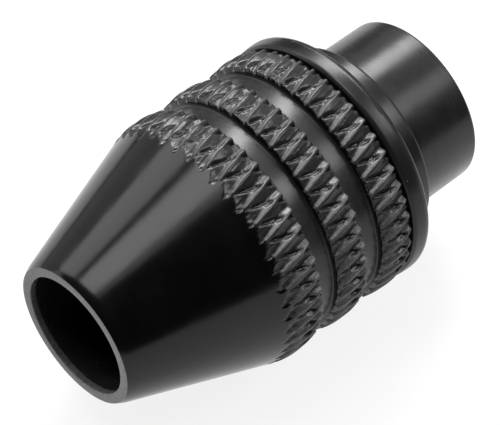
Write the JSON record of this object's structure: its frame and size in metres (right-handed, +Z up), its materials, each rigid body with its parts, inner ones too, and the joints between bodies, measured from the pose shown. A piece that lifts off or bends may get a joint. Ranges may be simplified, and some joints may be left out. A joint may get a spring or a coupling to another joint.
{
  "type": "drill chuck",
  "caption": "Keyless rotary-tool drill chuck: a tapered, knurled sleeve screws along a threaded hub and its inner cone closes sprung sliding jaws.",
  "frame": {"origin": "centre of the hub's rear face, where the spindle's thread enters", "axes": "+Y along the chuck's axis from the nose to the threaded rear, +Z up through the middle of one jaw"},
  "size_m": [0.02, 0.0331, 0.02],
  "materials": {
    "sleeve_black": "black oxide, satin, turned and knurled",
    "cap_black": "black oxide, satin, turned",
    "hub_black": "black oxide, satin, turned and threaded",
    "jaw_steel": "hardened and ground, dark",
    "washer_steel": "plain bright stamped steel",
    "spring_steel": "bright drawn wire"
  },
  "bodies": {
    "hub": {"hub": "hub_black"},
    "stop_ring": {"stop_washer": "washer_steel"},
    "sleeve": {"knurled_sleeve": "sleeve_black", "end_cap": "cap_black"},
    "jaw_a": {"jaw_1": "jaw_steel", "jaw_spring_1": "spring_steel"},
    "jaw_b": {"jaw_2": "jaw_steel", "jaw_spring_2": "spring_steel"},
    "jaw_c": {"jaw_3": "jaw_steel", "jaw_spring_3": "spring_steel"}
  },
  "joints": [
    {"name": "sleeve_advance", "type": "slide", "parent": "hub", "child": "stop_ring", "axis": [0, 1, 0], "range_m": [0, 0.0042]},
    {"name": "sleeve_turn", "type": "hinge", "parent": "stop_ring", "child": "sleeve", "pos_m": [0, 0, 0], "axis": [0, 1, 0], "range_deg": [0, 1008]},
    {"name": "jaw_1_slide", "type": "slide", "parent": "hub", "child": "jaw_a", "axis": [0, 0, -1], "range_m": [0, 0.00148], "deforming": ["jaw_spring_1"]},
    {"name": "jaw_2_slide", "type": "slide", "parent": "hub", "child": "jaw_b", "axis": [-0.866, 0, 0.5], "range_m": [0, 0.00148], "deforming": ["jaw_spring_2"]},
    {"name": "jaw_3_slide", "type": "slide", "parent": "hub", "child": "jaw_c", "axis": [0.866, 0, 0.5], "range_m": [0, 0.00148], "deforming": ["jaw_spring_3"]}
  ],
  "couplings": [
    {"joint": "sleeve_advance", "follows": "sleeve_turn", "m_per_rad": 0.00023873},
    {"joint": "jaw_1_slide", "follows": "sleeve_turn", "m_per_rad": 0.000084394},
    {"joint": "jaw_2_slide", "follows": "sleeve_turn", "m_per_rad": 0.000084394},
    {"joint": "jaw_3_slide", "follows": "sleeve_turn", "m_per_rad": 0.000084394}
  ]
}
